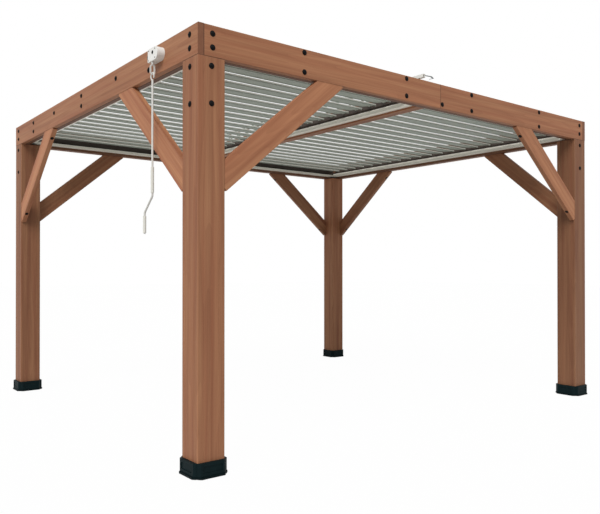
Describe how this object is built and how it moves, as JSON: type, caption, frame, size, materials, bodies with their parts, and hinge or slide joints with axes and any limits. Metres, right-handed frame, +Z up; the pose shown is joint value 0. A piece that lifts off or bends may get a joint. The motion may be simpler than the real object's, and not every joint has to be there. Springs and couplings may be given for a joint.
{
  "type": "louvred garden pergola",
  "caption": "Free-standing timber pergola with knee-braced posts and two bays of tilting metal roof louvres, opened together by a hand crank through a worm gearbox.",
  "frame": {"origin": "middle of the plan, on the ground", "axes": "+X along the front beam to the right, +Y from the front to the back, +Z up; the crank is at -X"},
  "size_m": [4.0395, 3.462, 2.5122],
  "materials": {
    "timber": "stained, satin",
    "boot": "moulded, matt",
    "gutter": "powder coated cream",
    "bearing": "moulded, matt",
    "louvre": "powder coated grey-green",
    "bar": "powder coated off-white",
    "strap": "plain steel",
    "bolt": "black coated steel",
    "gearbox": "moulded off-white",
    "crank": "painted off-white",
    "grip": "moulded off-white"
  },
  "bodies": {
    "frame": {"post_boots": "boot", "post_front_left": "timber", "post_front_right": "timber", "post_back_left": "timber", "post_back_right": "timber", "left_beam": "timber", "left_inner_ply": "timber", "right_beam": "timber", "right_inner_ply": "timber", "front_beam_left": "timber", "front_beam_right": "timber", "front_inner_ply": "timber", "back_beam_left": "timber", "back_beam_right": "timber", "back_inner_ply": "timber", "front_braces": "timber", "back_braces": "timber", "left_braces": "timber", "right_braces": "timber", "centre_joist": "timber", "side_gutters": "gutter", "end_gutters": "gutter", "bearing_strips": "bearing", "gearbox": "gearbox"},
    "louvre_02": {"louver_row_02": "louvre"},
    "louvre_01": {"louver_row_01": "louvre"},
    "louvre_03": {"louver_row_03": "louvre"},
    "louvre_04": {"louver_row_04": "louvre"},
    "louvre_05": {"louver_row_05": "louvre"},
    "louvre_06": {"louver_row_06": "louvre"},
    "louvre_07": {"louver_row_07": "louvre"},
    "louvre_08": {"louver_row_08": "louvre"},
    "louvre_09": {"louver_row_09": "louvre"},
    "louvre_10": {"louver_row_10": "louvre"},
    "louvre_11": {"louver_row_11": "louvre"},
    "louvre_12": {"louver_row_12": "louvre"},
    "louvre_13": {"louver_row_13": "louvre"},
    "louvre_14": {"louver_row_14": "louvre"},
    "louvre_15": {"louver_row_15": "louvre"},
    "louvre_16": {"louver_row_16": "louvre"},
    "louvre_17": {"louver_row_17": "louvre"},
    "louvre_18": {"louver_row_18": "louvre"},
    "louvre_19": {"louver_row_19": "louvre"},
    "louvre_20": {"louver_row_20": "louvre"},
    "louvre_21": {"louver_row_21": "louvre"},
    "tie_bar": {"tie_bar": "bar", "bar_strap": "strap"},
    "crank": {"crank_eye": "crank", "crank_rod": "crank", "crank_grips": "grip"}
  },
  "joints": [
    {"name": "row_02_tilt", "type": "hinge", "parent": "frame", "child": "louvre_02", "pos_m": [0, -1.30069, 2.37], "axis": [1, 0, 0], "range_deg": [0, 90]},
    {"name": "row_01_tilt", "type": "hinge", "parent": "frame", "child": "louvre_01", "pos_m": [0, -1.45075, 2.37], "axis": [1, 0, 0], "range_deg": [0, 90]},
    {"name": "row_03_tilt", "type": "hinge", "parent": "frame", "child": "louvre_03", "pos_m": [0, -1.15063, 2.37], "axis": [1, 0, 0], "range_deg": [0, 90]},
    {"name": "row_04_tilt", "type": "hinge", "parent": "frame", "child": "louvre_04", "pos_m": [0, -1.00057, 2.37], "axis": [1, 0, 0], "range_deg": [0, 90]},
    {"name": "row_05_tilt", "type": "hinge", "parent": "frame", "child": "louvre_05", "pos_m": [0, -0.85051, 2.37], "axis": [1, 0, 0], "range_deg": [0, 90]},
    {"name": "row_06_tilt", "type": "hinge", "parent": "frame", "child": "louvre_06", "pos_m": [0, -0.70045, 2.37], "axis": [1, 0, 0], "range_deg": [0, 90]},
    {"name": "row_07_tilt", "type": "hinge", "parent": "frame", "child": "louvre_07", "pos_m": [0, -0.55039, 2.37], "axis": [1, 0, 0], "range_deg": [0, 90]},
    {"name": "row_08_tilt", "type": "hinge", "parent": "frame", "child": "louvre_08", "pos_m": [0, -0.40033, 2.37], "axis": [1, 0, 0], "range_deg": [0, 90]},
    {"name": "row_09_tilt", "type": "hinge", "parent": "frame", "child": "louvre_09", "pos_m": [0, -0.25027, 2.37], "axis": [1, 0, 0], "range_deg": [0, 90]},
    {"name": "row_10_tilt", "type": "hinge", "parent": "frame", "child": "louvre_10", "pos_m": [0, -0.10021, 2.37], "axis": [1, 0, 0], "range_deg": [0, 90]},
    {"name": "row_11_tilt", "type": "hinge", "parent": "frame", "child": "louvre_11", "pos_m": [0, 0.04985, 2.37], "axis": [1, 0, 0], "range_deg": [0, 90]},
    {"name": "row_12_tilt", "type": "hinge", "parent": "frame", "child": "louvre_12", "pos_m": [0, 0.19991, 2.37], "axis": [1, 0, 0], "range_deg": [0, 90]},
    {"name": "row_13_tilt", "type": "hinge", "parent": "frame", "child": "louvre_13", "pos_m": [0, 0.34997, 2.37], "axis": [1, 0, 0], "range_deg": [0, 90]},
    {"name": "row_14_tilt", "type": "hinge", "parent": "frame", "child": "louvre_14", "pos_m": [0, 0.50003, 2.37], "axis": [1, 0, 0], "range_deg": [0, 90]},
    {"name": "row_15_tilt", "type": "hinge", "parent": "frame", "child": "louvre_15", "pos_m": [0, 0.65009, 2.37], "axis": [1, 0, 0], "range_deg": [0, 90]},
    {"name": "row_16_tilt", "type": "hinge", "parent": "frame", "child": "louvre_16", "pos_m": [0, 0.80014, 2.37], "axis": [1, 0, 0], "range_deg": [0, 90]},
    {"name": "row_17_tilt", "type": "hinge", "parent": "frame", "child": "louvre_17", "pos_m": [0, 0.9502, 2.37], "axis": [1, 0, 0], "range_deg": [0, 90]},
    {"name": "row_18_tilt", "type": "hinge", "parent": "frame", "child": "louvre_18", "pos_m": [0, 1.10026, 2.37], "axis": [1, 0, 0], "range_deg": [0, 90]},
    {"name": "row_19_tilt", "type": "hinge", "parent": "frame", "child": "louvre_19", "pos_m": [0, 1.25032, 2.37], "axis": [1, 0, 0], "range_deg": [0, 90]},
    {"name": "row_20_tilt", "type": "hinge", "parent": "frame", "child": "louvre_20", "pos_m": [0, 1.40038, 2.37], "axis": [1, 0, 0], "range_deg": [0, 90]},
    {"name": "row_21_tilt", "type": "hinge", "parent": "frame", "child": "louvre_21", "pos_m": [0, 1.55044, 2.37], "axis": [1, 0, 0], "range_deg": [0, 90]},
    {"name": "tie_bar_swing", "type": "hinge", "parent": "louvre_02", "child": "tie_bar", "pos_m": [-0.1, -1.2129, 2.50016], "axis": [1, 0, 0], "range_deg": [-90, 0]},
    {"name": "crank_turn", "type": "hinge", "parent": "frame", "child": "crank", "pos_m": [-2.017, -1.24069, 1.9], "axis": [0, 0, 1], "range_deg": [0, 990]}
  ],
  "couplings": [
    {"joint": "row_01_tilt", "follows": "row_02_tilt", "ratio": 1},
    {"joint": "row_03_tilt", "follows": "row_02_tilt", "ratio": 1},
    {"joint": "row_04_tilt", "follows": "row_02_tilt", "ratio": 1},
    {"joint": "row_05_tilt", "follows": "row_02_tilt", "ratio": 1},
    {"joint": "row_06_tilt", "follows": "row_02_tilt", "ratio": 1},
    {"joint": "row_07_tilt", "follows": "row_02_tilt", "ratio": 1},
    {"joint": "row_08_tilt", "follows": "row_02_tilt", "ratio": 1},
    {"joint": "row_09_tilt", "follows": "row_02_tilt", "ratio": 1},
    {"joint": "row_10_tilt", "follows": "row_02_tilt", "ratio": 1},
    {"joint": "row_11_tilt", "follows": "row_02_tilt", "ratio": 1},
    {"joint": "row_12_tilt", "follows": "row_02_tilt", "ratio": 1},
    {"joint": "row_13_tilt", "follows": "row_02_tilt", "ratio": 1},
    {"joint": "row_14_tilt", "follows": "row_02_tilt", "ratio": 1},
    {"joint": "row_15_tilt", "follows": "row_02_tilt", "ratio": 1},
    {"joint": "row_16_tilt", "follows": "row_02_tilt", "ratio": 1},
    {"joint": "row_17_tilt", "follows": "row_02_tilt", "ratio": 1},
    {"joint": "row_18_tilt", "follows": "row_02_tilt", "ratio": 1},
    {"joint": "row_19_tilt", "follows": "row_02_tilt", "ratio": 1},
    {"joint": "row_20_tilt", "follows": "row_02_tilt", "ratio": 1},
    {"joint": "row_21_tilt", "follows": "row_02_tilt", "ratio": 1},
    {"joint": "tie_bar_swing", "follows": "row_02_tilt", "ratio": -1},
    {"joint": "crank_turn", "follows": "row_02_tilt", "ratio": 11}
  ]
}
